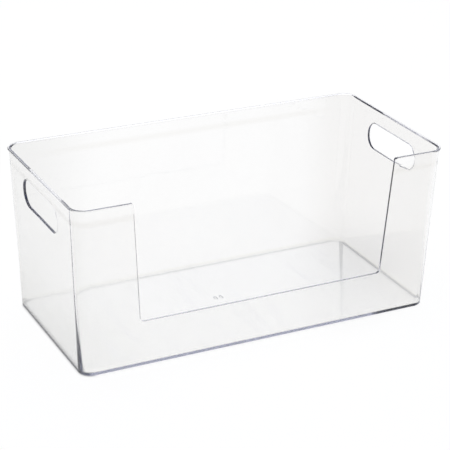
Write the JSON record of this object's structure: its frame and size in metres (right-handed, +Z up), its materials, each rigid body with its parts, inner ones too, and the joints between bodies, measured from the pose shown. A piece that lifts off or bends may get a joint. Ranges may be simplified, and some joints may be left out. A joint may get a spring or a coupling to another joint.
{
  "type": "fridge bin",
  "caption": "Clear plastic open-top storage bin with a wide dip in the front wall and a hand-hold slot in each end.",
  "frame": {"origin": "middle of the underside, on the surface the bin stands on", "axes": "+X along the bin's length, -Y out through the dip in the front wall, +Z up out of the open top"},
  "size_m": [0.356, 0.171, 0.155],
  "materials": {
    "clear_plastic": "clear, polished"
  },
  "bodies": {
    "root": {"bin_shell": "clear_plastic"}
  },
  "joints": []
}
